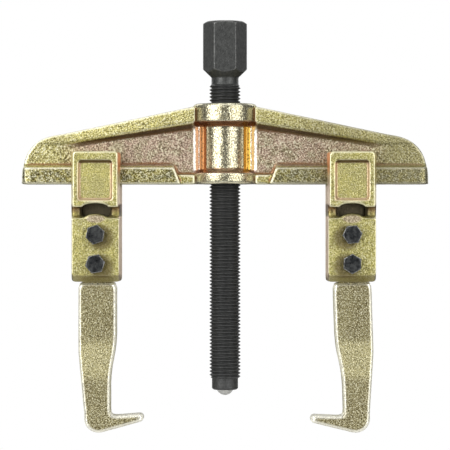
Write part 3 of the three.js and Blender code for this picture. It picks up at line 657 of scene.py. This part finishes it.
def slide_regions(co, centre):
    """Where a slider has its panel walls, its valley and window, the dome and the painted shadows of its
    bolts.
    """
    x, y, z = np.abs(co[:, 0] - centre), np.abs(co[:, 1]), co[:, 2]
    outside = np.maximum(x - PANEL_HALF_WIDTH, np.maximum(PANEL_BOTTOM - z, z - PANEL_TOP))
    wall = band(outside, -0.3 * MM, 0.9 * MM, 0.3 * MM) * band(y, PANEL_FLOOR, BOX_FRONT, 0.3 * MM)
    wall *= below(z, PANEL_TOP - 0.8 * MM, PANEL_TOP)
    top_wall = band(z, PANEL_TOP - 0.3 * MM, PANEL_TOP + 1 * MM, BLUR) * below(x, 9 * MM, 9.6 * MM)
    top_wall *= band(y, PANEL_FLOOR, BOX_FRONT - 0.2 * MM, 0.3 * MM)
    valley = band(z, *VALLEY, 1 * MM) * below(y, *VALLEY_DEPTH)
    window = below(y, *WINDOW_DEPTH) * step(y, *TONGUE_POCKET)
    window = np.maximum(window, 0.9 * below(x, *WINDOW_SIDE))
    from_dome = np.hypot(x / DOME_HALF_WIDTH, (z - DOME_CENTRE) / DOME_HALF_HEIGHT)
    dome = below(from_dome, *DOME_EDGE) * step(y, *DOME_DEPTH)
    inward = -math.copysign(1, centre) * co[:, 0] + abs(centre)
    inner = step(inward, -1 * MM, 1 * MM)
    return {
        "panel_wall": wall, "top_wall": top_wall, "valley": valley, "window": valley * window,
        "valley_low": step(z, *VALLEY_TURN), "dome": dome, "bolt_shadow": bolt_shadows(co, centre), "inner": inner,
        "foot": step(z, *FOOT), "sill": band(z, *SILL, 0.6 * MM), "web_reflection": inner * band(z, *WEB_REFLECTION_SPAN, 6 * MM),
    }


def slider(side, half, seed):
    node = f"{side}_slide_{half}"
    low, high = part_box(side + "_slide_front")
    centre = (low.x + high.x) / 2
    obj = forged("forged_" + node, closed_copy(node), 0.38 * MM, 0.5 * MM, FORGED_RELIEF, seed,
                 reach=1.1 * MM, soft=lambda co: slide_soft(co, centre),
                 regions=lambda co: slide_regions(co, centre))
    dress(obj, side + "_carriage", slide_zinc, "slide_zinc", node)


# ---------------------------------------------------------------- jaws and fasteners

JAW_RELIEF = [(9 * MM, 0.08 * MM), (2.4 * MM, 0.03 * MM), (1.2 * MM, 0.025 * MM)]
FASTENER_RELIEF = [(1.5 * MM, 0.08 * MM)]
JAW_SEED = 20
FASTENER_SEED = 30

JAW_REFLECTION_BAND = (35 * MM, 49 * MM)
TONGUE_DARK = (118 * MM, 121 * MM)
HEEL = (24 * MM, 14 * MM)


def jaw_regions(co):
    """The middle of the leg gets a painted lighter band of reflection; the tongue inside the slider is in
    the dark.
    """
    z = co[:, 2]
    return {"brightened": band(z, *JAW_REFLECTION_BAND, 7 * MM), "hidden": step(z, *TONGUE_DARK), "heel": step(z, *HEEL)}


def jaw(side, seed):
    node = side + "_jaw"
    obj = forged("forged_" + node, closed_copy(node), 0.4 * MM, 0.5 * MM, JAW_RELIEF, seed,
                 regions=jaw_regions)
    dress(obj, side + "_carriage", jaw_zinc, "jaw_zinc", node)


def fastener(side, part, row, seed):
    node = f"{side}_{part}_{row}"
    obj = forged("turned_" + node, closed_copy(node), 0.2 * MM, 0.12 * MM, FASTENER_RELIEF, seed,
                 reach=0.6 * MM)
    dress(obj, side + "_carriage", black_oxide, "black_oxide", node)


for i, side in enumerate(("left", "right")):
    for j, half in enumerate(("front", "back")):
        slider(side, half, SLIDE_SEED + 2 * i + j)
    jaw(side, JAW_SEED + i)
    for part in ("bolt", "washer", "nut"):
        for row in ("upper", "lower"):
            fastener(side, part, row, FASTENER_SEED + i)

# ---------------------------------------------------------------- forcing screw

HEAD_SEED = 40
BALL_SEED = 50

THREAD_TOP = 200.0 * MM
THREAD_BOTTOM = 31.0 * MM
PITCH = 2 * MM
CREST_RADIUS = 8.95 * MM
THREAD_DEPTH = 1.2 * MM
THREAD_ROOT = 0.14                # the flat root takes up this share of a turn
THREAD_FLANK = 0.88               # and the flanks end at this one
CREST_WEAR = 0.5
NECK_RADIUS = 7.8 * MM
NOSE_RADIUS = 7.5 * MM
NOSE_ROUNDING = 1.2 * MM
ROD_SIDES = 72
ROWS_PER_TURN = 10
HEAD_OVERLAP = 1 * MM             # the head reaches this far down into the rod


def thread_profile(phase):
    """Depth of the thread below its crest at a phase between 0 and 1, as a share of the full depth."""
    from_root = np.abs((phase % 1.0) - 0.5) * 2
    return np.clip((THREAD_FLANK - from_root) / (THREAD_FLANK - THREAD_ROOT), 0, 1)


def rod_faces(rows):
    """Quads around the rod, row by row, and fans of triangles that close its two ends."""
    centre_low, centre_high = rows * ROD_SIDES, rows * ROD_SIDES + 1
    last = (rows - 1) * ROD_SIDES
    sides = [(s, (s + 1) % ROD_SIDES) for s in range(ROD_SIDES)]
    starts = range(0, last, ROD_SIDES)
    faces = [(r + s, r + t, r + ROD_SIDES + t, r + ROD_SIDES + s) for r in starts for s, t in sides]
    for s, t in sides:
        faces.append((centre_low, t, s))
        faces.append((centre_high, last + s, last + t))
    return faces


def threaded_rod(name):
    """Threaded shank from the nose up into the head."""
    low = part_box("spindle")[0].z
    rise = PITCH / ROWS_PER_TURN
    heights = np.arange(low, THREAD_TOP + rise, rise)
    angles = np.linspace(0, 2 * math.pi, ROD_SIDES, endpoint=False)
    z, angle = np.meshgrid(heights, angles, indexing="ij")
    depth = thread_profile(z / PITCH - angle / (2 * math.pi))
    to_end = np.minimum(THREAD_TOP - z, z - THREAD_BOTTOM)
    radius = np.minimum(CREST_RADIUS - THREAD_DEPTH * depth, NECK_RADIUS + np.clip(to_end, 0, None))
    nose = np.clip((z - low) / NOSE_ROUNDING, 0, 1)
    radius = np.where(z < THREAD_BOTTOM, NOSE_RADIUS - NOSE_ROUNDING * (1 - nose) ** 2, radius)
    co = np.stack([radius * np.cos(angle), radius * np.sin(angle), z], axis=-1).reshape(-1, 3)
    co = np.vstack([co, [0, 0, low], [0, 0, heights[-1]]])
    mesh = bpy.data.meshes.new(name)
    mesh.from_pydata([tuple(p) for p in co], [], rod_faces(len(heights)))
    smooth_shaded(mesh)
    store(mesh, "edge", np.append(1 - depth.ravel(), [0, 0]) * CREST_WEAR)
    return add_object(name, mesh)


def spindle_head():
    """The part of the spindle above its thread: neck and hexagon."""
    bm = closed_copy("spindle")
    bmesh.ops.bisect_plane(
        bm, geom=bm.verts[:] + bm.edges[:] + bm.faces[:],
        plane_co=(0, 0, THREAD_TOP - HEAD_OVERLAP), plane_no=(0, 0, 1), clear_inner=True,
    )
    bmesh.ops.holes_fill(bm, edges=[e for e in bm.edges if e.is_boundary])
    return bm


rod = threaded_rod("threaded_rod")
dress(rod, "screw_body", thread_steel, "screw_steel", "spindle")

head = forged("hex_head", spindle_head(), 0.3 * MM, 0.35 * MM, [(5 * MM, 0.03 * MM)], HEAD_SEED,
              reach=1.2 * MM)
dress(head, "screw_body", screw_steel, "screw_steel", "spindle")

ball = forged("bearing_ball", closed_copy("tip_ball"), 0.25 * MM, 0.5 * MM, [(4 * MM, 0.004 * MM)],
              BALL_SEED)
dress(ball, "tip_body", ball_steel, "ball_steel", "tip_ball")

# ---------------------------------------------------------------- floor, light and camera

CAMERA_DISTANCE = 1.5
CAMERA_HEIGHT = 0.1192
LENS = 208.24                     # focal length in millimetres
SENSOR_WIDTH = 36                 # also in millimetres
FLOOR_DROP = 0.05
FLOOR_RADIUS = 0.24


def floor_disc():
    bm = bmesh.new()
    bmesh.ops.create_circle(bm, cap_ends=True, segments=128, radius=FLOOR_RADIUS)
    mesh = bpy.data.meshes.new("floor")
    bm.to_mesh(mesh)
    bm.free()
    mesh.materials.append(paper_finish())
    obj = add_object("floor", mesh)
    obj.location.z = -FLOOR_DROP
    return obj


def softbox(name, azimuth, elevation, distance, size, radiance):
    """A soft light that faces the middle of the object; azimuth 0 is the front, 90 the right."""
    width, height = size
    light = bpy.data.lights.new(name, "AREA")
    light.shape = "RECTANGLE"
    light.size, light.size_y = size
    light.energy = radiance * math.pi * width * height
    obj = add_object(name, light)
    a, e = math.radians(azimuth), math.radians(elevation)
    way = Vector((math.sin(a) * math.cos(e), -math.cos(a) * math.cos(e), math.sin(e)))
    obj.location = Vector((0, 0, CAMERA_HEIGHT)) + distance * way
    obj.rotation_euler = way.to_track_quat("Z", "Y").to_euler()
    obj.visible_camera = False


def studio_world():
    """White behind the object, and light that is dim in front and bright behind in its reflections."""
    world = bpy.data.worlds.new("studio")
    world.use_nodes = True
    nodes, links = world.node_tree.nodes, world.node_tree.links
    surroundings = nodes["Background"]
    backdrop = nodes.new("ShaderNodeBackground")
    backdrop.inputs["Color"].default_value = (1, 1, 1, 1)
    backdrop.inputs["Strength"].default_value = 1.0
    direction = nodes.new("ShaderNodeTexCoord")
    split = nodes.new("ShaderNodeSeparateXYZ")
    links.new(direction.outputs["Generated"], split.inputs[0])
    fade = nodes.new("ShaderNodeMapRange")
    fade.interpolation_type = "SMOOTHSTEP"
    fade.inputs["From Min"].default_value = -0.35
    fade.inputs["From Max"].default_value = 0.3
    fade.inputs["To Min"].default_value = 0.12
    fade.inputs["To Max"].default_value = 1.15
    links.new(split.outputs["Y"], fade.inputs["Value"])
    links.new(fade.outputs["Result"], surroundings.inputs["Strength"])
    ray = nodes.new("ShaderNodeLightPath")
    either = nodes.new("ShaderNodeMixShader")
    links.new(ray.outputs["Is Camera Ray"], either.inputs[0])
    links.new(surroundings.outputs[0], either.inputs[1])
    links.new(backdrop.outputs[0], either.inputs[2])
    links.new(either.outputs[0], nodes["World Output"].inputs["Surface"])
    return world


def front_camera():
    data = bpy.data.cameras.new("camera")
    data.lens = LENS
    data.sensor_width = SENSOR_WIDTH
    camera = add_object("camera", data)
    camera.location = (0, -CAMERA_DISTANCE, CAMERA_HEIGHT)
    camera.rotation_euler = (math.radians(90), 0, 0)
    return camera


floor = floor_disc()

softbox("softbox_left", azimuth=-41, elevation=16, distance=1.3, size=(1.0, 1.3), radiance=4.2)
softbox("softbox_right", azimuth=41, elevation=8, distance=1.3, size=(1.0, 1.3), radiance=2.9)
softbox("softbox_top", azimuth=0, elevation=82, distance=1.2, size=(1.2, 0.8), radiance=2.0)
softbox("softbox_back_left", azimuth=-145, elevation=20, distance=1.4, size=(0.8, 1.2), radiance=1.5)
softbox("softbox_back_right", azimuth=145, elevation=20, distance=1.4, size=(0.8, 1.2), radiance=1.5)

scene.world = studio_world()
scene.view_settings.view_transform = "Standard"
scene.camera = front_camera()
